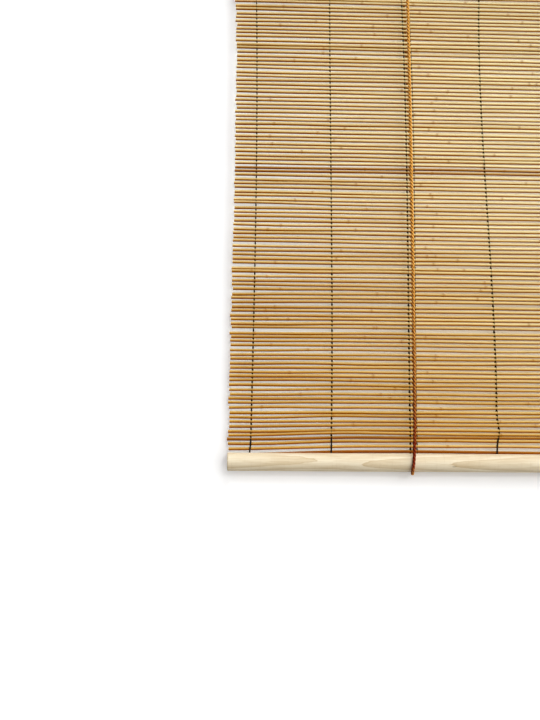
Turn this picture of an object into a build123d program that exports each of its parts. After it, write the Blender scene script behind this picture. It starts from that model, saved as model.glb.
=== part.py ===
from build123d import *
from math import cos, pi, tan
import os

# Roll-up bamboo blind hung by two plates. Its front faces -Y and +Z is up.
# The origin is midway between the two hanger holes, on the back of the hanger plates, which is the wall.
# All lengths are in millimetres.

# Reed mat
reed_length = 600.0
reed_width = 3.5
reed_pitch = 5.0
reed_count = 121
reed_sides = 8
mat_margin = 25.0  # from a reed's end to the outer warp thread
neck_width = 2.0  # of the webs under the outer warp threads, which join the reeds
mat_top_gap = 0.75  # from the hanger plates down to the first reed

# Warp threads, twined round the reeds
thread_width = 0.8
thread_gap = 0.05  # between a thread and what it lies on
inner_column = 185.0
cord_column = 95.0
thread_pair_spacing = 8.0  # the two threads that flank each lift cord

# Head rail
rail_overhang = 2.0  # both rails reach this far past the reeds
head_rail_height = 30.0
head_rail_chamfer = 1.5
head_rail_drop = 7.0  # from the hanger holes down to its top face

# Hanger plates
hanger_spacing = 280.0
hanger_width = 18.0
hanger_thickness = 1.5
hanger_hole_radius = 3.0
hanger_overlap = 10.0  # height of the plate that lies on the head rail
hanger_crank = 9.0  # from the plate's foot back to its tongue, so that the mat clears the wall
hanger_screw_spacing = 9.0
hanger_screw_radius = 1.4
hanger_screw_head_radius = 2.4
hanger_screw_head_height = 1.2
hanger_screw_bite = 9.0
screw_hole_gap = 0.1
screw_sides = 12

# Bottom rail
bottom_rail_radius = 10.0
bottom_rail_chamfer = 0.8
rail_tuck = 2.7  # from the last reed's middle down to the rail's middle

# Staples of square wire
staple_wire = 0.8
staple_offset = 4.0  # beside the warp thread
staple_bite = 5.0

# Lift cords
cord_radius = 1.5
cord_sides = 8
running_gap = 0.3  # between pieces that move past each other
knot_radius = 2.8
knot_length = 4.5
anchor_staple_drop = 7.0  # from the head rail's top to the staple that holds the cord

# Cord wheels on the front of the head rail
wheel_radius = 8.0
wheel_width = 5.0
groove_radius = 4.2
journal_radius = 1.5
journal_gap = 0.05
wheel_screw_head_radius = 3.6
wheel_screw_head_height = 1.2
wheel_screw_bite = 10.0
top_run_inset = 8.0  # from the head rail's top down to the upper cord
top_run_gap = 1.1  # between the two cords that run along the rail
side_wheel_inset = 77.0  # from the head rail's end to the nearer of the right cord's wheels
side_wheel_spacing = 20.0

# Pull toggle that joins the two cord ends
toggle_width = 36.0
toggle_depth = 12.0
toggle_height = 16.0
toggle_chamfer = 2.5
toggle_hole_gap = 0.2
toggle_drop = 15.0  # below the cord loops

overrun = 2.0

# Places worked out from the sizes
hanger_foot_y = -hanger_crank
head_back_y = hanger_foot_y - hanger_thickness
head_top_z = -head_rail_drop
head_bottom_z = head_top_z - head_rail_height
rail_length = reed_length + 2 * rail_overhang

thread_reach = reed_width / 2 + thread_gap + thread_width
mat_y = head_back_y + thread_gap + thread_reach
first_reed_z = head_top_z - hanger_overlap - mat_top_gap - reed_width / 2
last_reed_z = first_reed_z - (reed_count - 1) * reed_pitch
outer_column = reed_length / 2 - mat_margin

rail_y = mat_y - thread_reach - running_gap - bottom_rail_radius
rail_z = last_reed_z - rail_tuck
loop_radius = bottom_rail_radius + running_gap + cord_radius
front_cord_y = rail_y - loop_radius
back_cord_y = mat_y + reed_width / 2 + running_gap + cord_radius

groove_width = 2 * (cord_radius + running_gap)
wheel_cord_radius = groove_radius + running_gap + cord_radius
upper_run_z = head_top_z - top_run_inset
upper_wheel_z = upper_run_z - wheel_cord_radius
lower_wheel_z = upper_wheel_z - 2 * cord_radius - top_run_gap
side_wheel_x = rail_length / 2 - side_wheel_inset
outer_side_wheel_x = side_wheel_x + side_wheel_spacing
wheel_front_y = front_cord_y - wheel_width / 2

# The head rail is as deep as brings its face just behind the wheels.
head_front_y = front_cord_y + wheel_width / 2 + running_gap

toggle_top_z = rail_z - loop_radius - cord_radius - toggle_drop
toggle_bottom_z = toggle_top_z - toggle_height

# The left cord runs in the upper place and the right cord in the lower one.
cord_xs = {"left": -cord_column, "right": cord_column}
wheel_zs = {"left": upper_wheel_z, "right": lower_wheel_z}
side_wheel_xs = {"left": outer_side_wheel_x, "right": side_wheel_x}
tail_xs = {side: x + wheel_cord_radius for side, x in side_wheel_xs.items()}


def block(low, high):
    """A box between two corners."""
    size = [end - start for start, end in zip(low, high)]
    return Pos(*low) * Box(*size, align=(Align.MIN, Align.MIN, Align.MIN))


def screw(shank_radius, head_radius, head_height, bite):
    """A pan-head screw along local Z: the seat of its head is at zero and its shank points down."""
    head = extrude(RegularPolygon(head_radius, screw_sides), head_height)
    shank = extrude(RegularPolygon(shank_radius, screw_sides), -bite)
    return head + shank


def cord_section():
    return RegularPolygon(cord_radius, cord_sides)


def upright_cord(x, y, low_z, high_z):
    """A straight run of cord along Z."""
    return extrude(Plane((x, y, low_z)) * cord_section(), high_z - low_z)


def knot(x, y, middle_z):
    """A stopper knot as a short barrel that slims to the cord at its ends."""
    ease = (knot_radius - cord_radius) * cos(pi / cord_sides)
    barrel = extrude(RegularPolygon(knot_radius, cord_sides), knot_length / 2, both=True)
    ends = barrel.edges().group_by(Axis.Z)
    barrel = chamfer(ends[0] + ends[-1], ease)
    return Pos(x, y, middle_z) * barrel


def staple(x, reed_z, crown_y, point_y):
    """A U of square wire: its crown lies behind a reed and its legs pass above and below it."""
    leg_z = reed_pitch / 2
    half = staple_wire / 2
    outside = block(
        (x - half, point_y, reed_z - leg_z - half),
        (x + half, crown_y + staple_wire, reed_z + leg_z + half),
    )
    inside = block(
        (x - half - overrun, point_y - overrun, reed_z - leg_z + half),
        (x + half + overrun, crown_y, reed_z + leg_z - half),
    )
    return outside - inside


def staple_columns():
    """Staples stand beside the single warp threads, inside the gaps between the reeds."""
    outer = outer_column - staple_offset
    inner = inner_column - staple_offset
    return [-outer, -inner, staple_offset, inner, outer]


def warp_columns():
    """The warp threads from left to right, with a pair at each lift cord."""
    half_pair = thread_pair_spacing / 2
    right = [cord_column - half_pair, cord_column + half_pair, inner_column, outer_column]
    return [-x for x in reversed(right)] + [0] + right


def head_rail():
    rail = block(
        (-rail_length / 2, head_front_y, head_bottom_z),
        (rail_length / 2, head_back_y, head_top_z),
    )
    return chamfer(rail.edges().filter_by(Axis.X), head_rail_chamfer)


def hanger_plate(x):
    """A bent plate: its tongue, with the hanger hole, lies on the wall, and its foot on the head rail."""
    half = hanger_width / 2
    low_z = head_top_z - hanger_overlap
    shelf_z = head_top_z + hanger_thickness
    bends = Polyline(
        (0, half),
        (0, head_top_z),
        (hanger_foot_y, head_top_z),
        (hanger_foot_y, low_z),
        (head_back_y, low_z),
        (head_back_y, shelf_z),
        (-hanger_thickness, shelf_z),
        (-hanger_thickness, half),
        close=True,
    )
    strip = extrude(Plane.YZ * make_face(bends), half, both=True)
    outline = Polyline((-half, 0), (-half, low_z), (half, low_z), (half, 0))
    top = ThreePointArc((half, 0), (0, half), (-half, 0))
    face = make_face(outline + top)
    face -= Circle(hanger_hole_radius)
    hole = RegularPolygon(hanger_screw_radius + screw_hole_gap, screw_sides)
    face -= [Pos(screw_x, hanger_screw_z()) * hole for screw_x in hanger_screw_xs()]
    return Pos(x, 0, 0) * (strip & extrude(Plane.XZ * face, -head_back_y))


def hanger_screw_xs():
    return [-hanger_screw_spacing / 2, hanger_screw_spacing / 2]


def hanger_screw_z():
    return head_top_z - hanger_overlap / 2


def hanger_screws():
    """Four pan-head screws driven forwards through the plates into the head rail."""
    bite = hanger_thickness + hanger_screw_bite
    one = screw(hanger_screw_radius, hanger_screw_head_radius, hanger_screw_head_height, bite)
    screws = []
    for plate_x in (-hanger_spacing / 2, hanger_spacing / 2):
        for screw_x in hanger_screw_xs():
            place = Plane((plate_x + screw_x, hanger_foot_y, hanger_screw_z()), z_dir=(0, 1, 0))
            screws.append(place * one)
    return Compound(screws)


def reed_mat():
    """Reeds of eight-sided section in one wall, joined by narrow webs under the outer warp threads."""
    half = reed_width / 2
    flat = half * tan(pi / reed_sides)
    reed_zs = [first_reed_z - reed_pitch * i for i in range(reed_count)]
    front = []
    back = []
    for z in reed_zs:
        steps = [(flat, half), (half, flat), (half, -flat), (flat, -half)]
        front += [(mat_y - across, z + up) for across, up in steps]
        back += [(mat_y + across, z + up) for across, up in steps]
    section = make_face(Polyline(*front, *reversed(back), close=True))
    wall = extrude(Plane.YZ * section, reed_length / 2, both=True)
    end_x = reed_length / 2 + overrun
    inner_x = outer_column - neck_width / 2
    outer_x = outer_column + neck_width / 2
    gaps = [
        block((start_x, mat_y - reed_width, z - reed_pitch + half), (stop_x, mat_y + reed_width, z - half))
        for z in reed_zs[:-1]
        for start_x, stop_x in ((-end_x, -outer_x), (-inner_x, inner_x), (outer_x, end_x))
    ]
    return wall - gaps


def warp_thread(x):
    """One thread round all the reeds: down the front, under the last, up the back."""
    half = thread_width / 2
    inside_reach = thread_reach - thread_width
    top_z = first_reed_z + thread_reach
    low_z = last_reed_z - thread_reach
    outside = block((x - half, mat_y - thread_reach, low_z), (x + half, mat_y + thread_reach, top_z))
    inside = block(
        (x - half - overrun, mat_y - inside_reach, low_z + thread_width),
        (x + half + overrun, mat_y + inside_reach, top_z - thread_width),
    )
    return outside - inside


def head_staples():
    """They hold the second reed to the back of the head rail."""
    reed_z = first_reed_z - reed_pitch
    crown_y = mat_y + reed_width / 2 + thread_gap
    point_y = head_back_y - staple_bite
    return Compound([staple(x, reed_z, crown_y, point_y) for x in staple_columns()])


def rail_staples():
    """They hold the last reed to the back of the bottom rail."""
    crown_y = mat_y + reed_width / 2 + running_gap
    point_y = rail_y + bottom_rail_radius - staple_bite
    return Compound([staple(x, last_reed_z, crown_y, point_y) for x in staple_columns()])


def anchor_staples():
    """They pin the back end of each lift cord, below its knot, to the head rail."""
    z = head_top_z - anchor_staple_drop
    crown_y = back_cord_y + cord_radius + thread_gap
    point_y = head_back_y - staple_bite
    leg_x = cord_radius + running_gap + staple_wire / 2
    half = staple_wire / 2
    staples = []
    for x in cord_xs.values():
        outside = block(
            (x - leg_x - half, point_y, z - half),
            (x + leg_x + half, crown_y + staple_wire, z + half),
        )
        inside = block(
            (x - leg_x + half, point_y - overrun, z - half - overrun),
            (x + leg_x - half, crown_y, z + half + overrun),
        )
        staples.append(outside - inside)
    return Compound(staples)


def bottom_rail():
    rail = Pos(0, rail_y, rail_z) * (Rot(Y=90) * Cylinder(bottom_rail_radius, rail_length))
    return chamfer(rail.edges().filter_by(GeomType.CIRCLE), bottom_rail_chamfer)


def wheel(x, z):
    """A grooved wheel turning about Y, with its groove round the cord's plane."""
    spool = Cylinder(wheel_radius, wheel_width)
    groove = Cylinder(wheel_radius + overrun, groove_width) - Cylinder(groove_radius, groove_width)
    bore = Cylinder(journal_radius + journal_gap, wheel_width)
    return Pos(x, front_cord_y, z) * (Rot(X=90) * (spool - groove - bore))


def wheel_places():
    """The wheels that turn each cord sideways and then down, by name."""
    return {
        "left_wheel": (cord_xs["left"] + wheel_cord_radius, wheel_zs["left"]),
        "right_wheel": (cord_xs["right"] + wheel_cord_radius, wheel_zs["right"]),
        "outer_side_wheel": (side_wheel_xs["left"], wheel_zs["left"]),
        "inner_side_wheel": (side_wheel_xs["right"], wheel_zs["right"]),
    }


def wheel_screws():
    """Round-headed screws that are the wheels' axles."""
    head_y = wheel_front_y - running_gap
    bite = head_front_y - head_y + wheel_screw_bite
    one = screw(journal_radius, wheel_screw_head_radius, wheel_screw_head_height, bite)
    return Compound([Plane((x, head_y, z), z_dir=(0, -1, 0)) * one for x, z in wheel_places().values()])


def cord_back_run(side):
    """From its knot above the anchor staple down the back of the mat to the loop."""
    x = cord_xs[side]
    knot_z = head_top_z - anchor_staple_drop + staple_wire / 2 + knot_length / 2
    run = upright_cord(x, back_cord_y, rail_z, knot_z)
    return run + knot(x, back_cord_y, knot_z)


def cord_loops():
    """The turns of both cords under the bottom rail, from the back run to the front run."""
    low_z = rail_z - loop_radius
    back_turn_y = back_cord_y - loop_radius
    path = Wire(
        [
            CenterArc((back_turn_y, rail_z), loop_radius, 0, -90),
            Line((back_turn_y, low_z), (rail_y, low_z)),
            CenterArc((rail_y, rail_z), loop_radius, -90, -90),
        ]
    )
    start = Plane((0, back_cord_y, rail_z), x_dir=(1, 0, 0), z_dir=(0, 0, -1))
    loop = sweep(start * cord_section(), path=Plane.YZ * path)
    return Compound([Pos(x, 0, 0) * loop for x in cord_xs.values()])


def cord_top_run(side):
    """Over the lift wheel, along the head rail and over the side wheel."""
    wheel_x = cord_xs[side] + wheel_cord_radius
    side_x = side_wheel_xs[side]
    wheel_z = wheel_zs[side]
    run_z = wheel_z + wheel_cord_radius
    path = Wire(
        [
            CenterArc((wheel_x, wheel_z), wheel_cord_radius, 180, -90),
            Line((wheel_x, run_z), (side_x, run_z)),
            CenterArc((side_x, wheel_z), wheel_cord_radius, 90, -90),
        ]
    )
    start = Plane((cord_xs[side], front_cord_y, wheel_z))
    return sweep(start * cord_section(), path=Pos(0, front_cord_y, 0) * (Plane.XZ * path))


def cord_front_run(side):
    """From the loop up the front of the mat to the cord's wheel."""
    return upright_cord(cord_xs[side], front_cord_y, rail_z, wheel_zs[side])


def cord_tail(side):
    """From the side wheel straight down to the pull toggle."""
    return upright_cord(tail_xs[side], front_cord_y, toggle_top_z, wheel_zs[side])


def pull_toggle():
    """A wooden bar with eased edges and two upright holes for the cords."""
    middle_x = (tail_xs["left"] + tail_xs["right"]) / 2
    bar = Box(toggle_width, toggle_depth, toggle_height)
    bar = chamfer(bar.edges(), toggle_chamfer)
    hole = Cylinder(cord_radius + toggle_hole_gap, toggle_height + 2 * overrun)
    middle_z = (toggle_top_z + toggle_bottom_z) / 2
    bar = Pos(middle_x, front_cord_y, middle_z) * bar
    return bar - [Pos(x, front_cord_y, middle_z) * hole for x in tail_xs.values()]


def pull_knots():
    """The cord ends inside the toggle, each with the knot below that holds it."""
    knot_z = toggle_bottom_z - knot_length / 2
    ends = []
    for x in tail_xs.values():
        stub = upright_cord(x, front_cord_y, knot_z, toggle_top_z)
        ends.append(stub + knot(x, front_cord_y, knot_z))
    return Compound(ends)


nodes = {
    "head_rail": head_rail(),
    "hanger_plate_left": hanger_plate(-hanger_spacing / 2),
    "hanger_plate_right": hanger_plate(hanger_spacing / 2),
    "hanger_screws": hanger_screws(),
    "reed_mat": reed_mat(),
    "head_staples": head_staples(),
    "anchor_staples": anchor_staples(),
    "bottom_rail": bottom_rail(),
    "rail_staples": rail_staples(),
    "wheel_screws": wheel_screws(),
    "cord_loops": cord_loops(),
    "pull_toggle": pull_toggle(),
    "pull_knots": pull_knots(),
}
for number, column in enumerate(warp_columns(), start=1):
    nodes[f"warp_thread_{number}"] = warp_thread(column)
for name, (wheel_x, wheel_z) in wheel_places().items():
    nodes[name] = wheel(wheel_x, wheel_z)
for side in ("left", "right"):
    nodes[f"cord_back_run_{side}"] = cord_back_run(side)
    nodes[f"cord_front_run_{side}"] = cord_front_run(side)
    nodes[f"cord_top_run_{side}"] = cord_top_run(side)
    nodes[f"cord_tail_{side}"] = cord_tail(side)

os.makedirs("parts", exist_ok=True)
for name, shape in nodes.items():
    export_step(shape, f"parts/{name}.step")
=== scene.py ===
"""Looks of a roll-up bamboo blind: reeds, threads, laid cords, wood and metal finishes, and a plain stage."""

import math

import bpy
import numpy as np
from bpy.props import FloatProperty, FloatVectorProperty, IntProperty, PointerProperty
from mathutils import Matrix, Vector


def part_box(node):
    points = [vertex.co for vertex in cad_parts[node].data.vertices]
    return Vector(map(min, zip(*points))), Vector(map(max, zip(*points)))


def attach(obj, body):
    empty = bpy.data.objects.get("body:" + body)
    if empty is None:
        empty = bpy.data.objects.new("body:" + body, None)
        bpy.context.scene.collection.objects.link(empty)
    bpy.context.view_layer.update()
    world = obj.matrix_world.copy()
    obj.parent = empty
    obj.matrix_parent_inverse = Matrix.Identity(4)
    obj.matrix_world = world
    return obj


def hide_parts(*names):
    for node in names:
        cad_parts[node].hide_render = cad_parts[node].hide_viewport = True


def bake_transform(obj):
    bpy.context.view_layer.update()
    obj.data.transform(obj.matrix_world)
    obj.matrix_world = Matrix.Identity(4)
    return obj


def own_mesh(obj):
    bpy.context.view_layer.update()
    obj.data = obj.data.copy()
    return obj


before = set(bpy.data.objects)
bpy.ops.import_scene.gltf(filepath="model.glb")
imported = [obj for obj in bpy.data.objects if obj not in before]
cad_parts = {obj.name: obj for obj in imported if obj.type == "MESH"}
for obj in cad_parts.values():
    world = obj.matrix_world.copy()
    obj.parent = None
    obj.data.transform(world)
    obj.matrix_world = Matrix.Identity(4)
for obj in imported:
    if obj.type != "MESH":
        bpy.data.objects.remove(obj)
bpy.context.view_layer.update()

bl_info = {
    "name": "Bamboo Blind",
    "version": (1, 0, 0),
    "blender": (4, 5, 0),
    "location": "3D View > Sidebar > Blind",
    "description": "Dresses a roll-up bamboo blind with reeds, threads, cords, wood and metal",
    "category": "Object",
}

MM = 0.001
WHITE = (1.0, 1.0, 1.0)
ALONG_X, ALONG_Y, ALONG_Z = np.eye(3)


def whole(name, description, default):
    """A whole number."""
    return IntProperty(name=name, description=description, default=default)


def number(name, description, default):
    """A plain number."""
    return FloatProperty(name=name, description=description, default=default)


def degrees(name, description, default):
    """An angle, given in degrees."""
    return FloatProperty(name=name, description=description, default=math.radians(default), subtype="ANGLE")


def length(name, description, default):
    """A size in metres, given in millimetres."""
    return FloatProperty(name=name, description=description, default=default * MM, unit="LENGTH", precision=5)


def colour(name, description, default):
    """A linear colour."""
    return FloatVectorProperty(name=name, description=description, default=default, subtype="COLOR", size=3)


class BlindReeds(bpy.types.PropertyGroup):
    """Sizes of the reeds, all of them lying across the blind."""

    count: whole("Reeds", "How many reeds hang below each other", 121)
    pitch: length("Pitch", "Distance from one reed to the next", 5.0)
    radius: length("Radius", "Mean radius of a reed", 1.84)
    half_length: length("Half length", "From the middle of a reed to its end", 300.0)
    first_height: length("First height", "Height of the highest reed", -19.5)
    depth: length("Depth", "Place of the reeds' line, measured backwards from the wall", -7.85)
    end_scatter: length("End scatter", "How unevenly the reeds are cut", 0.6)
    row_scatter: length("Row scatter", "How unevenly the reeds are spaced", 0.36)
    bow: length("Bow", "How far a reed waves from a straight line", 0.26)
    drift: length("Drift", "Slow change of the spacing down the blind", 0.7)
    droop: length("Droop", "How far the left ends of the lowest reeds hang down", 3.8)
    lean: length("Lean", "How far the upper reeds sit to the right of the lower ones", 4.3)
    sag: length("Sag", "How far the reeds above the foot have slid down the threads", 1.6)
    joint_swell: length("Joint swell", "How far the joint of a reed stands out", 0.16)
    sides: whole("Sides", "Faces round one reed", 10)
    runs: whole("Runs", "Even stations along one reed", 38)
    seed: whole("Seed", "Start of the random numbers for the reeds", 11)


class BlindThreads(bpy.types.PropertyGroup):
    """Sizes of the warp threads that hold the reeds."""

    swing: length("Swing", "How far a strand passes before and behind the reeds' line", 2.0)
    crossing: length("Crossing", "Half the width between the strands where they cross", 0.36)
    over_radius: length("Radius over a reed", "Radius of a strand drawn tight over a reed", 0.11)
    gap_radius: length("Radius in a gap", "Radius of a strand where it loosens between the reeds", 0.86)
    end_radius: length("Radius at the foot", "Radius of the strands that run down to the bottom rail", 0.64)
    foot_rows: number("Foot rows", "Reeds over which both strands lie in front", 5.4)
    per_reed: whole("Stations", "Stations along a strand for each reed", 8)
    sides: whole("Sides", "Faces round one strand", 5)


class BlindCords(bpy.types.PropertyGroup):
    """Sizes of the two laid lift cords."""

    strand_radius: length("Strand radius", "Radius of one of the three strands", 0.90)
    strand_offset: length("Strand offset", "From the cord's middle to a strand's middle", 0.98)
    lay: length("Lay", "Length in which a strand goes once round the cord", 12.6)
    lean: length("Lean", "How far the left loop hangs to the left of its wheel", -5.4)
    stray: length("Stray", "How far the left cord strays to the right behind the reeds", 6.0)
    station: length("Station", "Distance between the stations along a strand", 1.1)
    sides: whole("Sides", "Faces round one strand", 8)
    knot_size: length("Knot size", "Half the width of a knot", 3.3)


class BlindFinishes(bpy.types.PropertyGroup):
    """Colours of the finishes."""

    # reed_pale and reed_light are painted highlights on a reed's upper side, reed_pale where the painted
    # light near the head is strongest; reed_dark is painted shade on its under side and also colours the
    # joints; reed_mid is the face between.
    reed_pale: colour("Reed pale", "Upper side of the bleached reeds near the head", (1.0, 0.89, 0.51))
    reed_light: colour("Reed light", "Upper side of a reed", (0.75, 0.54, 0.205))
    reed_mid: colour("Reed middle", "Face of a reed", (0.61, 0.31, 0.03))
    reed_dark: colour("Reed dark", "Under side of a reed", (0.42, 0.125, 0.001))
    reed_end: colour("Reed end", "Cut end of a reed", (0.60, 0.40, 0.24))
    wood_pale: colour("Wood pale", "Early wood of the rails", (0.90, 0.80, 0.605))
    wood_tan: colour("Wood tan", "Late wood of the rails", (0.58, 0.42, 0.21))
    thread: colour("Thread", "Warp thread", (0.014, 0.007, 0.004))
    # cord_gold and cord_brown: the cord is drawn browner towards the bottom rail
    cord_gold: colour("Cord gold", "Cord where it is clean", (1.0, 0.49, 0.085))
    cord_brown: colour("Cord brown", "Cord where it is darkened by handling", (0.30, 0.034, 0.004))
    steel: colour("Zinc steel", "Plates, screws and staples", (0.60, 0.61, 0.62))
    nylon: colour("Nylon", "Wheels", (0.72, 0.70, 0.64))


class BlindStage(bpy.types.PropertyGroup):
    """Camera, lights, wall and floor."""

    camera_place: FloatVectorProperty(
        name="Camera place", description="Where the camera stands", subtype="XYZ", unit="LENGTH",
        default=(-0.28286, -0.90047, -0.64334))
    camera_turn: FloatVectorProperty(
        name="Camera turn", description="How the camera is turned", subtype="EULER", unit="ROTATION",
        default=(math.radians(98.635), math.radians(-0.296), math.radians(-1.801)))
    lens: number("Lens", "Focal length in millimetres", 40.0)
    sun_strength: number("Sun", "Strength of the key light", 0.44)
    sun_height: degrees("Sun height", "Height of the key light", 12)
    sun_side: degrees("Sun side", "How far the key light stands to the right", 14)
    sun_spread: degrees("Sun spread", "Softness of the key light", 8)
    soft_strength: number("Soft light", "Strength of the broad front light", 3.6)
    soft_height: degrees("Soft height", "Height of the broad front light", 28)
    soft_side: degrees("Soft side", "How far the broad lights stand to the right", 44)
    soft_spread: degrees("Soft spread", "Breadth of the broad lights", 112)
    back_strength: number("Back light", "Strength of the broad light behind the wall", 2.6)
    back_height: degrees("Back height", "Height of the light behind the wall", 12)
    sky_top: number("Sky top", "Strength of the light from straight above", 0.2)
    sky_level: number("Sky level", "Strength of the light from the sides", 0.2)
    sky_low: number("Sky low", "Strength of the light from below", 0.1)
    wall_glow: number("Wall glow", "How much whiter the wall looks than its light", 0.30)
    wall_gap: length("Wall gap", "From the hanger plates' backs to the wall", 0.1)
    floor_drop: length("Floor drop", "From the hanger holes to the floor", 1900.0)
    reach: length("Reach", "Half the size of the wall and the floor", 2500.0)


class BlindSettings(bpy.types.PropertyGroup):
    """All settings of the blind."""

    reeds: PointerProperty(type=BlindReeds)
    threads: PointerProperty(type=BlindThreads)
    cords: PointerProperty(type=BlindCords)
    finishes: PointerProperty(type=BlindFinishes)
    stage: PointerProperty(type=BlindStage)


def smoothstep(t):
    """0 below 0, 1 above 1, and 3t^2 - 2t^3 between."""
    t = np.clip(t, 0, 1)
    return t * t * (3 - 2 * t)


def unit(vectors):
    """Each vector divided by its length."""
    return vectors / np.maximum(np.linalg.norm(vectors, axis=-1, keepdims=True), 1e-12)


def put(name, data):
    """A new object in the scene."""
    made = bpy.data.objects.new(name, data)
    bpy.context.scene.collection.objects.link(made)
    return made


def put_mesh(name, points, faces, attributes, material, sharp_angle=50):
    """Puts arrays of points, of faces and of values per point into a new smooth object at the origin."""
    mesh = bpy.data.meshes.new(name)
    mesh.from_pydata(points.tolist(), [], [face for group in faces for face in group.tolist()])
    for key, values in attributes.items():
        stored = mesh.attributes.new(key, "FLOAT", "POINT")
        stored.data.foreach_set("value", np.asarray(values, np.float32).ravel())
    mesh.polygons.foreach_set("use_smooth", np.ones(len(mesh.polygons), bool))
    mesh.set_sharp_from_angle(angle=math.radians(sharp_angle))
    mesh.materials.append(material)
    return put(name, mesh)


def tubes(centres, first, second, radii):
    """Closed tubes round lines of centres.

    centres are (tube, station, 3), first and second fit that shape, and first x second runs along the line.
    radii are (tube, station, side). A ring's point at angle a is its centre + radius (cos a first + sin a
    second). Quads join neighbouring rings, and a fan from the outermost centre closes each end.
    """
    count, stations, sides = radii.shape
    first, second = (np.broadcast_to(axis, centres.shape) for axis in (first, second))
    angle = np.arange(sides) * math.tau / sides
    cosine, sine = np.cos(angle)[:, None], np.sin(angle)[:, None]
    round_about = cosine * first[:, :, None, :] + sine * second[:, :, None, :]
    rings = centres[:, :, None, :] + radii[..., None] * round_about
    points = np.concatenate([rings.reshape(-1, 3), centres[:, 0], centres[:, -1]])
    index = np.arange(count * stations * sides).reshape(count, stations, sides)
    beside = np.roll(index, -1, axis=2)
    quads = np.stack([index[:, :-1], beside[:, :-1], beside[:, 1:], index[:, 1:]], axis=-1).reshape(-1, 4)
    start = np.broadcast_to(index.size + np.arange(count)[:, None], (count, sides))
    end = start + count
    caps = np.concatenate([
        np.stack([start, beside[:, 0], index[:, 0]], axis=-1).reshape(-1, 3),
        np.stack([end, index[:, -1], beside[:, -1]], axis=-1).reshape(-1, 3),
    ])
    return points, [quads, caps]


def with_ends(values, shape, ends):
    """Values spread over the ring points of tubes, followed by those of each tube's two end centres."""
    ends = np.broadcast_to(ends, shape[:1])
    return np.concatenate([np.broadcast_to(values, shape).ravel(), ends, ends])


class Nodes:
    """The node tree of a material or of the world, written one node to a line."""

    def __init__(self, owner):
        owner.use_nodes = True
        self.tree = owner.node_tree

    def join(self, value, target):
        """A socket gets a link from another socket, a plain value, or a plain colour that is made opaque."""
        if isinstance(value, bpy.types.NodeSocket):
            self.tree.links.new(value, target)
        else:
            target.default_value = (*value, 1) if target.type == "RGBA" else value

    def add(self, kind, inputs=None, **settings):
        """A node of that kind, with its inputs joined and its settings made."""
        made = self.tree.nodes.new(kind)
        for key, value in settings.items():
            setattr(made, key, value)
        for key, value in (inputs or {}).items():
            self.join(value, made.inputs[key])
        return made

    def math(self, operation, *values):
        """One sum."""
        return self.add("ShaderNodeMath", dict(enumerate(values)), operation=operation).outputs[0]

    def span(self, value, low, high, start=0.0, end=1.0):
        """Start where the value is low, end where it is high, and a straight change between."""
        ends = {"From Min": low, "From Max": high, "To Min": start, "To Max": end}
        return self.add("ShaderNodeMapRange", {"Value": value, **ends}).outputs[0]

    def sway(self, value, share):
        """Share of how far a value lies above or below a half."""
        return self.math("MULTIPLY", self.math("SUBTRACT", value, 0.5), share)

    def value(self, name):
        """A value stored on the mesh's points."""
        return self.add("ShaderNodeAttribute", attribute_name=name).outputs["Fac"]

    def place(self, scale=(1, 1, 1)):
        """Object coordinates, scaled."""
        at = self.add("ShaderNodeTexCoord").outputs["Object"]
        return self.add("ShaderNodeMapping", {"Vector": at, "Scale": scale}).outputs[0]

    def axes(self):
        """Object coordinates, one by one."""
        return tuple(self.add("ShaderNodeSeparateXYZ", {0: self.place()}).outputs)

    def noise(self, scale, detail, rough=0.55):
        """Soft noise from 0 to 1, with as many patches to a metre along each axis as the scale says."""
        sockets = {"Vector": self.place(scale), "Scale": 1.0, "Detail": detail, "Roughness": rough}
        return self.add("ShaderNodeTexNoise", sockets).outputs["Fac"]

    def ramp(self, value, *stops):
        """Colours at places along a value."""
        made = self.add("ShaderNodeValToRGB", {"Fac": value})
        elements = made.color_ramp.elements
        while len(elements) < len(stops):
            elements.new(0.5)
        for element, (place, shade) in zip(elements, stops):
            element.position = place
            element.color = (*shade, 1)
        return made.outputs["Color"]

    def mix(self, share, first, second, blend="MIX"):
        """Two colours mixed."""
        made = self.add("ShaderNodeMix", data_type="RGBA", blend_type=blend, clamp_factor=True)
        for socket, value in (("Factor", share), ("A", first), ("B", second)):
            self.join(value, [s for s in made.inputs if s.name == socket and s.enabled][0])
        return [s for s in made.outputs if s.enabled][0]

    def tinted(self, share, first, second):
        """A colour multiplied by another to some share."""
        return self.mix(share, first, second, "MULTIPLY")

    def bump(self, height, strength, distance):
        """Relief from a height."""
        made = self.add("ShaderNodeBump", {"Height": height, "Strength": strength, "Distance": distance})
        return made.outputs["Normal"]


class Finish(Nodes):
    """A material with one principled surface."""

    def __init__(self, name, colour_in_view):
        self.material = bpy.data.materials.new(name)
        super().__init__(self.material)
        self.material.diffuse_color = (*colour_in_view, 1)
        self.surface = self.tree.nodes["Principled BSDF"]
        self.surface.inputs["Base Color"].default_value = (*colour_in_view, 1)

    def finish(self, base, rough, normal=None, **plain):
        """Joins colour, roughness and relief to the surface, and sets its plain values."""
        for key, value in (("Base Color", base), ("Roughness", rough), ("Normal", normal)):
            if value is not None:
                self.join(value, self.surface.inputs[key])
        for key, value in plain.items():
            self.surface.inputs[key.replace("_", " ")].default_value = value
        return self.material


def shade(colour_value, factor):
    """A colour made lighter or darker."""
    return tuple(min(1.0, part * factor) for part in colour_value)


def grey(level):
    """A colour without a hue."""
    return (level,) * 3


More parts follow.
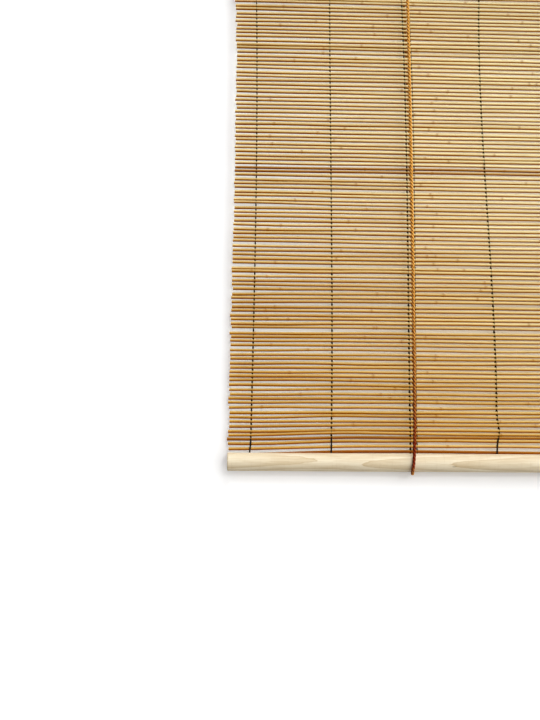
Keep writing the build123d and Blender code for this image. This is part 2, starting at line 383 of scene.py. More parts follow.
def reed_finish(hues):
    """Bamboo skin: painted highlight above, painted shade below, a tone for each reed, long fibres and dark
    joints.
    """
    n = Finish("bamboo_reed", hues.reed_mid)
    fibres = n.noise((14, 900, 900), 3.0)
    patches = n.noise((9, 160, 160), 2.0)
    across = n.axes()[0]
    # side grows from the reeds' left ends towards the right, where it moves the painted highlight further
    # round
    side = n.span(across, -0.3, 0.05)
    fibrous = n.sway(fibres, 0.20)
    # Painted highlight and shade: round puts the highlight on each reed's upper side and the shade on its
    # under side
    height = n.math("ADD", n.math("ADD", n.value("round"), fibrous), n.math("MULTIPLY", side, 0.11))
    fresh = n.ramp(height, (0.30, hues.reed_dark), (0.52, hues.reed_mid), (0.82, hues.reed_light))
    shades = zip(hues.reed_mid, hues.reed_pale, (1.10, 0.96, 0.66))
    half_pale = [(mid + pale) / 2 * warmth for mid, pale, warmth in shades]
    pale = n.ramp(height, (0.32, hues.reed_dark), (0.52, half_pale), (0.72, hues.reed_pale))
    # Painted light: paler towards the head and towards the right, together with each reed's own random
    # paleness
    bleach = n.math("ADD", n.value("bleach"), n.math("MULTIPLY", across, 0.9))
    skin = n.mix(bleach, fresh, pale)
    tone = n.ramp(n.value("tone"), (0.0, (0.62, 0.48, 0.32)), (0.25, (0.88, 0.84, 0.78)), (1.0, WHITE))
    toned = n.tinted(1.0, skin, tone)
    # Painted shade: a little darker over the left part of the reeds, fading out towards the right
    weathered = n.ramp(side, (0.0, WHITE), (0.03, (0.89, 0.84, 0.77)), (1.0, WHITE))
    mottle = n.ramp(patches, (0.30, (0.84, 0.78, 0.70)), (0.62, WHITE))
    mottled = n.tinted(0.8, n.tinted(1.0, toned, weathered), mottle)
    jointed = n.mix(n.math("MULTIPLY", n.value("joint"), 0.55), mottled, shade(hues.reed_dark, 0.8))
    base = n.mix(n.value("cut"), jointed, hues.reed_end)
    rough = n.math("MULTIPLY_ADD", fibres, 0.22, 0.32)
    return n.finish(base, rough, n.bump(fibres, 0.25, 0.0004), Specular_IOR_Level=0.06)


def cord_finish(hues, rail_height):
    """Laid cord: gold, darkened towards the bottom rail, with fine yarns that run along each strand."""
    n = Finish("lift_cord", hues.cord_gold)
    yarns = n.noise((1500, 1500, 420), 2.0)
    wear = n.noise((60, 60, 28), 3.0)
    height = n.axes()[2]
    low = n.span(height, rail_height + 0.36, rail_height + 0.02)
    tip = n.span(height, rail_height - 0.012, rail_height - 0.004, 0.45, 1.0)
    # Browner towards the bottom rail, lighter again at the tip below the rail, with random patches
    worn = n.math("ADD", n.math("MULTIPLY", n.math("POWER", low, 2.2), tip), n.sway(wear, 0.5))
    cord = n.mix(worn, hues.cord_gold, hues.cord_brown)
    # Painted shade in the grooves between the strands
    hollow = n.ramp(n.value("outer"), (0.56, (0.17, 0.06, 0.03)), (0.88, WHITE))
    # Painted shade on the cord's left side, stronger towards the bottom rail
    edge = n.ramp(n.value("left"), (0.58, WHITE), (0.92, (0.42, 0.20, 0.12)))
    edged = n.math("ADD", n.math("MULTIPLY", low, 0.75), 0.35)
    base = n.tinted(edged, n.tinted(1.0, cord, hollow), edge)
    return n.finish(base, 0.6, n.bump(yarns, 0.5, 0.0003), Specular_IOR_Level=0.08)


def wood_finish(hues, name, centre, crown, slope, knot):
    """Turned pale wood whose growth layers slope away on both sides of a crown.

    The layer at a point is its depth towards the front + slope |x - crown| + a tilt that swings over at the
    crown, so that each layer leaves a tongue on the front whose tip points at the crown. A layer starts brown
    and fades to pale. The knot is a small dark oval at a place (x, z).
    """
    layers_per_metre, knot_wide, knot_high = 220.0, 0.0026, 0.0008
    n = Finish(name, hues.wood_pale)
    x, y, z = n.axes()
    warp = n.noise((9, 120, 120), 2.0)
    along = n.math("SUBTRACT", x, crown)
    up = n.math("SUBTRACT", z, centre[1])
    tilt = n.span(along, -0.026, 0.026, 0.16, -0.22)
    depth = n.math("ADD", n.math("SUBTRACT", centre[0], y), n.math("MULTIPLY", up, tilt))
    away = n.math("MULTIPLY", n.math("ABSOLUTE", along), slope)
    fine = n.noise((60, 420, 420), 2.0)
    waver = n.math("ADD", n.sway(warp, 0.0016), n.sway(fine, 0.0009))
    layer = n.math("ADD", n.math("ADD", depth, away), waver)
    ring = n.math("FRACT", n.math("ADD", n.math("MULTIPLY", layer, layers_per_metre), 0.55))
    late = n.ramp(
        ring, (0.0, grey(0.15)), (0.02, WHITE), (0.08, grey(0.70)), (0.42, grey(0.40)), (0.85, grey(0.10)))
    # Painted shade: the brown late wood shows more strongly towards the under side of each piece
    low = n.span(up, 0.006, -0.006, 0.60, 0.85)
    grain = n.mix(n.math("MULTIPLY", late, low), hues.wood_pale, hues.wood_tan)
    fibres = n.noise((34, 560, 560), 4.0, 0.6)
    clouds, flecks = n.noise((6, 40, 40), 2.0), n.noise((420, 60, 60), 2.0)
    for pattern, share, (dark, light), tint in (
            (fibres, 0.6, (0.40, 0.56), (0.84, 0.78, 0.68)),
            (clouds, 0.7, (0.35, 0.65), (0.93, 0.90, 0.85)),
            (flecks, 0.22, (0.28, 0.42), (0.84, 0.78, 0.70))):
        grain = n.tinted(share, grain, n.ramp(pattern, (dark, tint), (light, WHITE)))
    aside, above = (
        n.math("POWER", n.math("DIVIDE", n.math("SUBTRACT", at, middle), size), 2.0)
        for at, middle, size in ((x, knot[0], knot_wide), (z, knot[1], knot_high)))
    oval = n.span(n.math("ADD", aside, above), 1.4, 0.3, 0.0, 0.55)
    base = n.mix(oval, grain, shade(hues.wood_tan, 0.5))
    return n.finish(base, 0.58, n.bump(fibres, 0.12, 0.0004), Specular_IOR_Level=0.3)


def speckled_finish(name, hue, noise, dark, light, rough, relief, **plain):
    """One colour that a noise shades, with faint relief.

    dark and light are each a place along the noise and the colour's factor there. The roughness is a share of
    the noise + a plain part.
    """
    n = Finish(name, hue)
    speckle = n.noise(*noise)
    base = n.ramp(speckle, *((place, shade(hue, factor)) for place, factor in (dark, light)))
    return n.finish(base, n.math("MULTIPLY_ADD", speckle, *rough), n.bump(speckle, *relief), **plain)


def thread_finish(hues):
    """Dark twisted cotton."""
    return speckled_finish(
        "warp_thread", hues.thread, ((1800, 1800, 900), 2.0), (0.35, 0.6), (0.75, 2.2), (0.0, 0.8),
        (0.4, 0.0002), Specular_IOR_Level=0.0)


def steel_finish(hues, name, level):
    """Zinc-plated steel with faint spangle, darkened by a level below 1 as painted shade."""
    return speckled_finish(
        name, shade(hues.steel, level), ((300, 300, 300), 3.0), (0.3, 0.82), (0.7, 1.08), (0.25, 0.24),
        (0.08, 0.0003), Metallic=1.0)


def nylon_finish(hues):
    """Moulded off-white nylon, a little cloudy."""
    return speckled_finish(
        "nylon", hues.nylon, ((220, 220, 220), 2.0), (0.3, 0.90), (0.7, 1.05), (0.0, 0.42), (0.06, 0.0003))


class ReedRows:
    """Where every reed lies: its height and depth at any place along it, and where its ends are.

    Rows are counted from the head. A row and rows of one name say where a change starts and how long it is.
    """

    near_dark = (52, 53, 115)
    last_seen = 118
    moved = {52: -0.5, 53: 0.5, 114: 0.8, 115: 3.0, 116: 1.6}
    eye_height, eye_distance = -0.643, 0.89
    # The dark reeds are thinner and darker; dark_turn also turns more of their painted under side shade into
    # view
    dark_radius, dark_tone, dark_turn, dark_bleach = 0.84, 0.02, -0.25, -0.25
    # Painted shadow where the last seen reed meets the bottom rail: a darker tone and more of its painted
    # under side shade
    last_tone, last_turn = 0.12, -0.85
    drift_row, drift_rows, drift_start = 71, 44, 20
    sag_row, sag_rows, sag_end, sag_fade = 84, 16, 117, 3
    least_gap, settling_passes = 0.12 * MM, 12
    tilt_scatter, depth_scatter, radius_scatter = 0.0010, 0.10 * MM, 0.05
    wave_lengths, wave_shares = np.array([600.0, 260.0, 130.0]) * MM, np.array([1.0, 0.7, 0.5])
    lean_rows, lean_start, lean_middle = 90, 30, 0.33
    tone_mean, tone_scatter, tone_least = 0.62, 0.26, 0.30
    joint_reach, alike_share, alike_joint, alike_scatter = 0.95, 0.3, -0.068, 0.006
    # Rows over which the painted light grows towards the head, and the scatter of each reed's own paleness
    bleach_rows, bleach_scatter = 76, 0.10
    droop_middle, droop_width, droop_least, droop_row, droop_rows = 117.5, 7.0, 0.2, 66, 20
    droop_from, droop_length = -0.150, 0.140

    def __init__(self, reeds):
        rng, count = np.random.default_rng(reeds.seed), reeds.count
        self.reeds = reeds
        self.rows = np.arange(count)
        nominal = reeds.first_height - reeds.pitch * self.rows
        slow = reeds.drift * np.sin(math.tau * (self.rows - self.drift_row) / self.drift_rows)
        slow = slow * smoothstep(self.rows / self.drift_start)
        height = nominal - slow + rng.normal(0, reeds.row_scatter, count)
        sagging = smoothstep((self.rows - self.sag_row) / self.sag_rows)
        height -= reeds.sag * sagging * smoothstep((self.sag_end - self.rows) / self.sag_fade)
        for row, rise in self.moved.items():
            height[row] += rise * MM
        height[0], height[-2:] = nominal[0], nominal[-2:]
        least = 2 * reeds.radius + self.least_gap
        for _ in range(self.settling_passes):
            push = np.maximum(least + np.diff(height), 0) / 2
            height[:-1] += push
            height[1:] -= push
        self.height = height
        self.tilt = rng.normal(0, self.tilt_scatter, count)
        self.waves = rng.normal(0, 1, (2, 3, count)) * self.wave_shares[:, None] * reeds.bow
        self.phase = rng.uniform(0, math.tau, (2, 3, count))
        self.depth = reeds.depth + rng.normal(0, self.depth_scatter, count)
        scatter = rng.normal(0, reeds.end_scatter, (2, count))
        up = smoothstep((self.last_seen - self.rows) / self.lean_rows)
        shift = (up - self.lean_middle) * reeds.lean * smoothstep(self.rows / self.lean_start)
        self.left = -reeds.half_length + shift + scatter[0]
        self.right = reeds.half_length + shift + scatter[1]
        dark = list(self.near_dark)
        self.radius = reeds.radius * (1 + rng.normal(0, self.radius_scatter, count))
        self.radius[dark] *= self.dark_radius
        self.tone = np.clip(rng.normal(self.tone_mean, self.tone_scatter, count), self.tone_least, 1)
        self.tone[dark] = self.dark_tone
        self.tone[self.last_seen] = self.last_tone
        self.joints = rng.uniform(-self.joint_reach, self.joint_reach, (count, 2)) * reeds.half_length
        alike = rng.uniform(0, 1, count) < self.alike_share
        self.joints[alike, 0] = rng.normal(self.alike_joint, self.alike_scatter, int(alike.sum()))
        self.flat = rng.uniform(0, math.tau, count)
        # Turns each reed's painted highlight and shade towards the camera's eye, so the highlight stays on
        # the upper side seen from there
        self.turn = np.arctan((height - self.eye_height) / self.eye_distance)
        self.turn[self.last_seen] += self.last_turn
        self.turn[dark] += self.dark_turn
        # Painted light that grows towards the head, plus each reed's own random paleness
        bleached = smoothstep((self.last_seen - self.rows) / self.bleach_rows)
        self.bleach = bleached + rng.normal(0, self.bleach_scatter, count)
        self.bleach[dark] += self.dark_bleach

    def wave(self, axis, x):
        """Sum of three sines along the reed, one for each wavelength."""
        angles = math.tau * x[None] / self.wave_lengths[:, None, None] + self.phase[axis][:, :, None]
        return (self.waves[axis][:, :, None] * np.sin(angles)).sum(0)

    def heights(self, x):
        """Height of every reed at places x (reed, station): row height + tilt + waves - droop at the left."""
        foot = np.exp(-(((self.droop_middle - self.rows) / self.droop_width) ** 2))
        low = self.droop_least + (1 - self.droop_least) * foot
        low = low * smoothstep((self.rows - self.droop_row) / self.droop_rows)
        hang = self.reeds.droop * low[:, None] * smoothstep((self.droop_from - x) / self.droop_length)
        return self.height[:, None] + self.tilt[:, None] * x + self.wave(0, x) - hang

    def depths(self, x):
        """Depth of every reed at places x: its own depth + waves."""
        return self.depth[:, None] + 0.5 * self.wave(1, x)


class BLIND_OT_reeds(bpy.types.Operator):
    """Lays the reeds: tubes along x that wave a little, swell at their joints and end unevenly"""

    bl_idname = "blind.reeds"
    bl_label = "Reeds"

    joint_width, oval_share = 1.3 * MM, 0.05

    def execute(self, context):
        """Radius at angle a: mean (1 + share cos 2(a - flat)) + swell exp(-((x - joint) / width)^2)."""
        settings = context.scene.blind
        reeds, rows = settings.reeds, ReedRows(settings.reeds)
        near_joint = np.array([-3.2, -1.3, 0.0, 1.3, 3.2]) * MM
        even = np.linspace(0, 1, reeds.runs)[None, :]
        x = rows.left[:, None] + (rows.right - rows.left)[:, None] * even
        at_joints = (rows.joints[:, :, None] + near_joint).reshape(reeds.count, -1)
        x = np.sort(np.concatenate([x, at_joints], axis=1), axis=1)
        near = np.exp(-(((x[:, None, :] - rows.joints[:, :, None]) / self.joint_width) ** 2)).sum(1)
        angle = np.arange(reeds.sides) * math.tau / reeds.sides
        oval = 1 + self.oval_share * np.cos(2 * (angle[None, :] - rows.flat[:, None]))
        radii = rows.radius[:, None, None] * oval[:, None, :] + reeds.joint_swell * near[:, :, None]
        centres = np.stack([x, rows.depths(x), rows.heights(x)], axis=-1)
        points, faces = tubes(centres, ALONG_Y, ALONG_Z, radii)
        shape = radii.shape
        # round: 1 at the painted highlight on the reed's upper side, 0 at the painted shade below
        round_about = (1 + np.sin(angle[None, :] - rows.turn[:, None])) / 2
        values = {
            "round": with_ends(round_about[:, None, :], shape, 0.5),
            "tone": with_ends(rows.tone[:, None, None], shape, rows.tone),
            "bleach": with_ends(rows.bleach[:, None, None], shape, rows.bleach),
            "joint": with_ends(near[:, :, None], shape, 0.0),
            "cut": with_ends(0.0, shape, 1.0),
        }
        made = put_mesh("reeds", points, faces, values, reed_finish(settings.finishes))
        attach(made, "head")
        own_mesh(made)
        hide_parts("reed_mat")
        return {"FINISHED"}


class BLIND_OT_threads(bpy.types.Operator):
    """Weaves the nine warp threads: two strands that pass before and behind the reeds in turn"""

    bl_idname = "blind.threads"
    bl_label = "Warp threads"

    columns = np.array([-275.0, -185.0, -99.0, -91.0, 0.0, 91.0, 99.0, 185.0, 275.0]) * MM
    paired = (2, 3, 5, 6)
    fullness = np.array([0.9, 1.0, 1.2, 0.55, 1.2, 0.55, 1.2, 1.0, 0.9])
    foot = np.array([-1.8, -2.0, 0.9, 0.3, -1.2, 0.5, -0.4, 1.2, 0.8]) * MM
    middle = np.array([1.2, 0.1, 2.3, 2.2, 0.6, -0.8, -1.2, 0.4, -1.0]) * MM
    upper = np.array([2.5, -0.2, 3.5, 4.3, -4.3, -2.4, -2.8, 1.8, -2.0]) * MM
    shares = np.array([0.0, 0.31, 0.65, 1.0])
    edge_pull, edge_row, edge_rows = 1.6 * MM, 115.5, 4
    bulge, bulge_row, bulge_rows = 2.6 * MM, 113.4, 2.4
    overhang, foot_fade, foot_apart = 0.55, 0.6, 0.36 * MM
    pinch, head_fullness, full_row, full_rows = 3.0, 0.74, 50, 50

    def sway(self, column, row):
        """How far a thread strays from its column: a cubic through its foot, middle, upper part and head."""
        places = [self.foot[column], self.middle[column], self.upper[column], 0.0]
        risen = np.clip((ReedRows.last_seen - row) / ReedRows.last_seen, 0, 1)
        stray = np.polyval(np.polyfit(self.shares, places, 3), risen)
        if column == 0:
            stray = stray - self.edge_pull * smoothstep((row - self.edge_row) / self.edge_rows)
        if column == 4:
            stray = stray + self.bulge * np.exp(-(((row - self.bulge_row) / self.bulge_rows) ** 2))
        return stray

    def weave(self, settings, rows, column, material):
        """Strand s at row u: y = depth + s swing cos(pi u), x = column + sway + s crossing sin(pi u).

        Over the foot rows, both strands of a single thread lie side by side in front instead.
        """
        threads, reeds = settings.threads, settings.reeds
        last = reeds.count - 1
        u = np.linspace(-self.overhang, last + self.overhang, reeds.count * threads.per_reed)
        x = self.columns[column] + self.sway(column, u)
        at_reeds = np.full((reeds.count, 1), self.columns[column])
        heights, depths = rows.heights(at_reeds)[:, 0], rows.depths(at_reeds)[:, 0]
        beyond = np.clip(u, 0, last) - u
        z = np.interp(u, rows.rows, heights) + beyond * reeds.pitch
        middle = np.interp(u, rows.rows, depths)
        strand = np.array([1.0, -1.0])[:, None]
        foot = np.zeros_like(u)
        if column not in self.paired:
            foot = smoothstep((u - (last - threads.foot_rows)) / self.foot_fade)
        y = middle + threads.swing * (strand * np.cos(math.pi * u) * (1 - foot) - foot)
        across = strand * (threads.crossing * np.sin(math.pi * u) * (1 - foot) + self.foot_apart * foot)
        centres = np.stack([x + across, y, np.broadcast_to(z, y.shape)], axis=-1)[:, ::-1]
        fuller = (1 - self.head_fullness) * smoothstep((u - self.full_row) / self.full_rows)
        loose = np.abs(np.sin(math.pi * u)) ** self.pinch * self.fullness[column]
        loose = loose * (self.head_fullness + fuller)
        radius = threads.over_radius + (threads.gap_radius - threads.over_radius) * loose
        radius = radius * (1 - foot) + threads.end_radius * foot
        along = unit(np.gradient(centres, axis=1))
        first = unit(np.cross(ALONG_Y, along))
        second = np.cross(along, first)
        radii = np.broadcast_to(radius[::-1][None, :, None], (2, len(u), threads.sides))
        points, faces = tubes(centres, first, second, radii)
        made = put_mesh(f"warp_thread_strands_{column + 1}", points, faces, {}, material)
        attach(made, "head")
        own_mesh(made)
        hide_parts(f"warp_thread_{column + 1}")

    def execute(self, context):
        """One piece for each column."""
        settings = context.scene.blind
        rows, material = ReedRows(settings.reeds), thread_finish(settings.finishes)
        for column in range(len(self.columns)):
            self.weave(settings, rows, column, material)
        return {"FINISHED"}


class BLIND_OT_cords(bpy.types.Operator):
    """Lays the two lift cords: three strands round one smooth line from the anchor staple to the pull"""

    bl_idname = "blind.cords"
    bl_label = "Lift cords"

    back_depth, front_depth = -4.3 * MM, -32.55 * MM
    loop_low, rail_height = -634.0 * MM, -622.2 * MM
    anchor_height, clear = -14.0 * MM, 14.0 * MM
    toggle_top, toggle_foot, pull_knot_height = -650.5 * MM, -668.0 * MM, -668.75 * MM
    knot_rise, travel, right_share, sharp_angle = 2.65 * MM, 0.54, 0.4, 80
    knot_stations, knot_sides, knot_shares, knot_radius = 61, 8, np.array([0.26, 0.30, 0.26]), 0.30
    runs = ("back_run", "loop", "front_run", "top_run", "tail")
    sides = {
        "left": {"x": -95.4 * MM, "run": -14.6 * MM, "tail": 251.4 * MM, "wheel": -21.0 * MM},
        "right": {"x": 94.6 * MM, "run": -18.7 * MM, "tail": 231.4 * MM, "wheel": -25.1 * MM},
    }

    def route(self, side, lean, stray):
        """Control points from a cord's anchor down behind, round under the rail, up, across and down."""
        x, run, tail = side["x"], side["run"], side["tail"]
        above_rail = self.rail_height + 6 * MM
        back, front = self.back_depth, self.front_depth
        return np.array([
            (x, back, self.anchor_height),
            (x + 0.95 * stray, back, 0.3 * above_rail),
            (x + 0.60 * lean + stray, back, above_rail),
            (x + 1.15 * lean + stray, back, self.loop_low),
            (x + 1.15 * lean, front, self.loop_low),
            (x + 0.60 * lean, front, above_rail),
            (x + 0.34 * lean, front, 0.89 * above_rail),
            (x - 0.05 * lean, front, 0.48 * above_rail),
            (x, front, run - self.clear),
            (x, front, run),
            (x + self.clear, front, run),
            (tail - self.clear, front, run),
            (tail, front, run),
            (tail, front, run - self.clear),
            (tail, front, self.toggle_foot),
        ])

    def line(self, name, points, station):
        """Points of a smooth spline over the control points, evenly spaced by the station."""
        curve = bpy.data.curves.new(name, "CURVE")
        curve.dimensions = "3D"
        spline = curve.splines.new("NURBS")
        spline.points.add(len(points) - 1)
        spline.points.foreach_set("co", np.column_stack([points, np.ones(len(points))]).ravel())
        spline.order_u = 3
        spline.use_endpoint_u = True
        spline.resolution_u = 40
        holder = bpy.data.objects.new(name, curve)
        read = bpy.data.meshes.new_from_object(holder)
        found = np.array([vertex.co for vertex in read.vertices])
        bpy.data.objects.remove(holder)
        bpy.data.curves.remove(curve)
        bpy.data.meshes.remove(read)
        along = np.concatenate([[0], np.cumsum(np.linalg.norm(np.diff(found, axis=0), axis=1))])
        even = np.linspace(0, along[-1], int(along[-1] / station))
        return np.stack([np.interp(even, along, found[:, axis]) for axis in range(3)], axis=-1), even

    def strands(self, cords, line, along):
        """Strand k's middle is the line + offset (cos a U + sin a V), a = -2 pi length / lay + 2 pi k / 3.

        U is x made square to the line up to the front run's middle, and V is y made square to it after.
        """
        tangent = unit(np.gradient(line, axis=0))
        u_low = unit(ALONG_X - (tangent @ ALONG_X)[:, None] * tangent)
        v_low = np.cross(tangent, u_low)
        v_high = unit(ALONG_Y - (tangent @ ALONG_Y)[:, None] * tangent)
        u_high = np.cross(v_high, tangent)
        before = line[:, 1] < (self.back_depth + self.front_depth) / 2
        rising = before & (line[:, 2] > 0.5 * self.rail_height)
        late = np.maximum.accumulate(rising)[:, None]
        u, v = np.where(late, u_high, u_low), np.where(late, v_high, v_low)
        angle = -math.tau * along[None, :] / cords.lay + math.tau * np.arange(3)[:, None] / 3
        outward = np.cos(angle)[..., None] * u + np.sin(angle)[..., None] * v
        return line + cords.strand_offset * outward, outward

    def lay(self, cords, name, centres, outward, part, material):
        """Tubes round the strands' middles over part of the line, each ring's first side facing outwards."""
        centres, outward = centres[:, part], outward[:, part]
        along = unit(np.gradient(centres, axis=1))
        first = unit(outward - (outward * along).sum(-1, keepdims=True) * along)
        second = np.cross(along, first)
        shape = (3, centres.shape[1], cords.sides)
        points, faces = tubes(centres, first, second, np.full(shape, cords.strand_radius))
        angle = np.arange(cords.sides) * math.tau / cords.sides
        facing = np.cos(angle) * first[..., :1] + np.sin(angle) * second[..., :1]
        aside = cords.strand_offset * outward[..., :1] + cords.strand_radius * facing
        # left and outer carry painted shade: the finish darkens the cord's left side and the grooves between
        # the strands
        left = (1 - aside / (cords.strand_offset + cords.strand_radius)) / 2
        outer = (1 + np.cos(angle)) / 2
        values = {"outer": with_ends(outer, shape, 0.5), "left": with_ends(left, shape, 0.5)}
        return put_mesh(name, points, faces, values, material, self.sharp_angle)

    def knot(self, cords, name, places, material):
        """Trefoil tubes: (2 + cos 3t)(cos 2t, sin 2t), sin 3t, scaled to the knot's size, one at a place."""
        t = np.linspace(0, math.tau, self.knot_stations)
        reach = 2 + np.cos(3 * t)
        turn = np.stack([reach * np.cos(2 * t), np.sin(3 * t), reach * np.sin(2 * t)], axis=-1)
        turn = turn * self.knot_shares * cords.knot_size
        centres = turn[None] + np.asarray(places)[:, None, :]
        along = unit(np.gradient(turn, axis=0))
        first = unit(np.cross(along, ALONG_Y))
        second = np.cross(along, first)
        shape = (len(centres), len(t), self.knot_sides)
        points, faces = tubes(centres, first, second, np.full(shape, self.knot_radius * cords.knot_size))
        angle = np.arange(self.knot_sides) * math.tau / self.knot_sides
        # outer carries painted shade into the knot's grooves
        values = {"outer": with_ends(0.75 + 0.25 * np.cos(angle), shape, 0.5)}
        return put_mesh(name, points, faces, values, material, self.sharp_angle)

    def execute(self, context):
        """Cuts each cord where the object carries it on; the loop, the knots and every run but the tail
        follow their own body.
        """
        settings = context.scene.blind
        cords = settings.cords
        material = cord_finish(settings.finishes, self.rail_height)
        for name, side in self.sides.items():
            share = 1.0 if name == "left" else self.right_share
            route = self.route(side, share * cords.lean, share * cords.stray)
            line, along = self.line(f"cord_line_{name}", route, cords.station)
            centres, outward = self.strands(cords, line, along)
            count = len(line)
            lowest = int(np.argmin(line[: count // 2, 2]))
            under = line[:, 2] < self.rail_height
            loop_from = int(np.argmax(under))
            loop_to = lowest + int(np.argmax(~under[lowest:]))
            top_from = loop_to + int(np.argmax(line[loop_to:, 2] > side["wheel"]))
            tail_from = top_from + int(np.argmax(line[top_from:, 0] > side["tail"] - 0.05 * MM))
            cuts = (0, loop_from, loop_to, top_from, tail_from, count - 1)
            made = {}
            for key, start, end in zip(self.runs, cuts, cuts[1:]):
                part = slice(start, end + 1)
                made[key] = self.lay(cords, f"lift_cord_{key}_{name}", centres, outward, part, material)
            tip = line[0] + self.knot_rise * ALONG_Z
            tied = self.knot(cords, f"anchor_knot_{name}", [tip], material)
            for piece in (made["back_run"], made["front_run"], made["top_run"], tied):
                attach(piece, "head")
            for piece, top in ((made["back_run"], self.anchor_height), (made["front_run"], side["wheel"])):
                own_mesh(piece)
            for key in ("back_run", "front_run", "top_run", "tail"):
                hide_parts(f"cord_{key}_{name}")
            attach(made["loop"], "lift_loops")
            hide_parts("cord_loops")
            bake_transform(made["tail"])
        ends = [(side["tail"], self.front_depth, self.pull_knot_height) for side in self.sides.values()]
        knots = self.knot(cords, "pull_knot_pair", ends, material)
        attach(knots, "pull")
        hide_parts("pull_knots")
        return {"FINISHED"}


def paint(material, *nodes):
    """Puts a material into every slot of some CAD nodes."""
    for node in nodes:
        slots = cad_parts[node].material_slots
        if not slots:
            raise RuntimeError(f"{node} has no material slot")
        for one in slots:
            one.material = material


class BLIND_OT_wood(bpy.types.Operator):
    """Gives the head rail, the bottom rail and the pull their turned and planed wood"""

    bl_idname = "blind.wood"
    bl_label = "Wood"

    grains = (("bottom_rail", -0.182, 0.045), ("head_rail", 0.06, 0.02), ("pull_toggle", 0.24, 0.2))
    knot_aside, knot_drop = 0.127, 4.3 * MM

    def execute(self, context):
        """Each piece's layers are set out from the middle of its own box."""
        finishes = context.scene.blind.finishes
        for node, crown, slope in self.grains:
            low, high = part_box(node)
            middle = (low + high) / 2
            knot = (crown + self.knot_aside, middle.z - self.knot_drop)
            paint(wood_finish(finishes, f"{node}_wood", (middle.y, middle.z), crown, slope, knot), node)
        return {"FINISHED"}


class BLIND_OT_hardware(bpy.types.Operator):
    """Gives the plates, screws, staples and wheels their finishes"""

    bl_idname = "blind.hardware"
    bl_label = "Hardware"

    # The wheel screws get a darker copy of the zinc steel, painted shade so that they don't catch the light
    # as white
    dull_level = 0.42
    steel = ("hanger_plate_left", "hanger_plate_right", "hanger_screws", "head_staples", "anchor_staples",
             "rail_staples")
    dull = ("wheel_screws",)
    nylon = ("left_wheel", "right_wheel", "outer_side_wheel", "inner_side_wheel")

    def execute(self, context):
        """Steel on what fastens, with painted shade on the screws that face the light, and nylon on what
        turns.
        """
        finishes = context.scene.blind.finishes
        paint(steel_finish(finishes, "zinc_steel", 1.0), *self.steel)
        paint(steel_finish(finishes, "dull_steel", self.dull_level), *self.dull)
        paint(nylon_finish(finishes), *self.nylon)
        return {"FINISHED"}


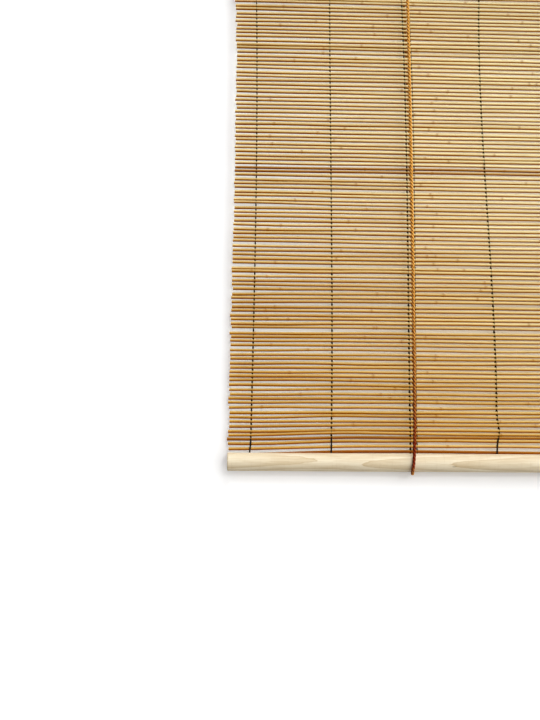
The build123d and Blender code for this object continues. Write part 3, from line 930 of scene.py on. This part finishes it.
class BLIND_OT_stage(bpy.types.Operator):
    """Sets the camera, the lights, a white wall close behind the blind and a pale floor"""

    bl_idname = "blind.stage"
    bl_label = "Stage"

    wall_level, floor_level = 0.9, 0.97
    # Places on the wall between which its glow changes, and the glow at each where it isn't from 0 to 1.
    # The glow to the camera paints light and shadow onto the wall: painted light higher up and towards the
    # left behind the mat, painted shadow under the bottom rail and beside the mat's left end, painted warm
    # bounce light behind the right part of the reeds, and a faint green tint behind the mat's gaps.
    rising, foot_zone, above_rail = (-0.62, -0.25, 1.0, 1.3), (-0.66, -0.61), (-0.64, -0.60)
    leftwards, mat_edge, warm_part = (-0.3, 0.0, 1.36, 0.92), (-0.304, -0.297), (-0.24, -0.06)
    beside_mat, margin, far_glow, foot_glow = (-0.60, -0.40, 0.70, 0.48), (-0.33, -0.302), 0.9, 0.66
    gap_tint, warm_tint = (0.93, 1.0, 0.95), (1.0, 0.85, 0.57)

    def plane(self, name, corners, material):
        """One square face."""
        made = put_mesh(name, np.array(corners), [np.array([[0, 1, 2, 3]])], {}, material)
        return made

    def sun(self, name, strength, height, side, spread, front):
        """A sun at a height, turned to the right by side, before or behind the blind."""
        lamp = bpy.data.lights.new(name, "SUN")
        lamp.energy = strength
        lamp.angle = spread
        put(name, lamp).rotation_euler = (math.pi / 2 - height, 0, side if front else math.pi - side)

    def wall_finish(self, glow):
        """White from the front; its glow to the camera paints light, shadow and warm bounce behind the reeds.
        Clear from behind.
        """
        white = grey(self.wall_level)
        n = Finish("wall_white", white)
        n.finish(white, 0.9, Specular_IOR_Level=0.0)
        x, _, z = n.axes()
        # Painted shadow: the glow is dimmed just under the bottom rail
        dim = grey(self.foot_glow)
        under = n.ramp(n.span(z, *self.foot_zone), (0.16, WHITE), (0.38, dim), (0.60, dim), (0.80, WHITE))
        # Painted light: the glow grows higher up the wall
        up = n.math("MULTIPLY", n.span(z, *self.rising), under)
        inside = n.span(x, *self.mat_edge)
        # Painted shadow: outside the mat the glow is lower close to its left end, more so higher up
        outside = n.span(x, *self.margin, self.far_glow, n.span(z, *self.beside_mat))
        # Painted light: behind the mat the glow is stronger towards the left
        behind_mat = n.math("MULTIPLY", up, n.span(x, *self.leftwards))
        extra = n.math("MULTIPLY", n.math("SUBTRACT", behind_mat, outside), inside)
        shone = n.math("MULTIPLY", n.math("ADD", extra, outside), glow)
        above = n.span(z, *self.above_rail)
        # The painted glow behind the mat's gaps is tinted a little green
        plain = n.mix(n.math("MULTIPLY", inside, above), WHITE, self.gap_tint)
        # Painted bounce light: a warm glow behind the right part of the reeds
        warm = n.mix(n.math("MULTIPLY", n.span(x, *self.warm_part), above), plain, self.warm_tint)
        n.join(warm, n.surface.inputs["Emission Color"])
        seen = n.math("MULTIPLY", n.add("ShaderNodeLightPath").outputs["Is Camera Ray"], shone)
        n.join(seen, n.surface.inputs["Emission Strength"])
        behind = n.add("ShaderNodeNewGeometry").outputs["Backfacing"]
        clear = n.add("ShaderNodeBsdfTransparent").outputs[0]
        both = n.add("ShaderNodeMixShader", {0: behind, 1: n.surface.outputs[0], 2: clear})
        n.join(both.outputs[0], n.tree.nodes["Material Output"].inputs["Surface"])
        return n.material

    def sky(self, top, level, low):
        """Lights most from above, and is plain white to the camera, to gloss and through glass."""
        world = bpy.data.worlds.new("plain_sky")
        bpy.context.scene.world = world
        n = Nodes(world)
        towards = n.add("ShaderNodeTexCoord").outputs["Generated"]
        up = n.add("ShaderNodeSeparateXYZ", {0: towards}).outputs["Z"]
        stops = ((0.0, low), (0.46, low), (0.54, level), (1.0, top))
        shades = [(place, grey(strength / top)) for place, strength in stops]
        light = n.tree.nodes["Background"]
        n.join(n.ramp(n.span(up, -1.0, 1.0), *shades), light.inputs["Color"])
        n.join(top, light.inputs["Strength"])
        white = n.add("ShaderNodeBackground", {"Color": WHITE, "Strength": 1.0})
        path = n.add("ShaderNodeLightPath").outputs
        seen = path["Is Camera Ray"]
        for ray in ("Is Glossy Ray", "Is Transmission Ray"):
            seen = n.math("MAXIMUM", seen, path[ray])
        both = n.add("ShaderNodeMixShader", {0: seen, 1: light.outputs[0], 2: white.outputs[0]})
        n.join(both.outputs[0], n.tree.nodes["World Output"].inputs["Surface"])

    def execute(self, context):
        """The camera stands where the picture was taken."""
        stage = context.scene.blind.stage
        eye = bpy.data.cameras.new("camera")
        eye.lens = stage.lens
        eye.clip_start, eye.clip_end = 0.01, 50.0
        camera = put("camera", eye)
        camera.location = stage.camera_place
        camera.rotation_euler = stage.camera_turn
        context.scene.camera = camera
        self.sun("key_sun", stage.sun_strength, stage.sun_height, stage.sun_side, stage.sun_spread, True)
        broad = (stage.soft_side, stage.soft_spread)
        self.sun("soft_front", stage.soft_strength, stage.soft_height, *broad, True)
        self.sun("soft_back", stage.back_strength, stage.back_height, *broad, False)
        self.sky(stage.sky_top, stage.sky_level, stage.sky_low)
        y, r, low = stage.wall_gap, stage.reach, -stage.floor_drop
        white = self.wall_finish(stage.wall_glow)
        wall = self.plane("wall", [(-r, y, low), (r, y, low), (r, y, r), (-r, y, r)], white)
        wall.visible_shadow = False
        pale = grey(self.floor_level)
        floor = Finish("floor_pale", pale)
        floor.finish(pale, 0.8, Specular_IOR_Level=0.1)
        ground = self.plane("floor", [(-r, -r, low), (r, -r, low), (r, r, low), (-r, r, low)], floor.material)
        ground.visible_diffuse = False
        context.scene.view_settings.view_transform = "Standard"
        return {"FINISHED"}


class BLIND_PT_sidebar(bpy.types.Panel):
    """Settings and steps of the blind"""

    bl_idname = "BLIND_PT_sidebar"
    bl_label = "Bamboo Blind"
    bl_space_type = "VIEW_3D"
    bl_region_type = "UI"
    bl_category = "Blind"

    def draw(self, context):
        """One box for each group of settings, and a button for each step."""
        settings = context.scene.blind
        for key in ("reeds", "threads", "cords", "finishes", "stage"):
            box = self.layout.box()
            box.label(text=key.capitalize())
            group = getattr(settings, key)
            for name in group.bl_rna.properties.keys():
                if name not in ("rna_type", "name"):
                    box.prop(group, name)
        for step in STEPS:
            self.layout.operator(step.bl_idname)


STEPS = (BLIND_OT_cords, BLIND_OT_reeds, BLIND_OT_threads, BLIND_OT_wood, BLIND_OT_hardware, BLIND_OT_stage)
GROUPS = (BlindReeds, BlindThreads, BlindCords, BlindFinishes, BlindStage, BlindSettings)
CLASSES = (*GROUPS, *STEPS, BLIND_PT_sidebar)


def register():
    """Makes the settings, the steps and the sidebar known."""
    for one in CLASSES:
        bpy.utils.register_class(one)
    bpy.types.Scene.blind = PointerProperty(type=BlindSettings)


def unregister():
    """Takes them away again."""
    del bpy.types.Scene.blind
    for one in reversed(CLASSES):
        bpy.utils.unregister_class(one)


def main():
    """Dresses the blind step by step."""
    register()
    bpy.ops.blind.cords()
    bpy.ops.blind.reeds()
    bpy.ops.blind.threads()
    bpy.ops.blind.wood()
    bpy.ops.blind.hardware()
    bpy.ops.blind.stage()


if __name__ == "__main__":
    main()
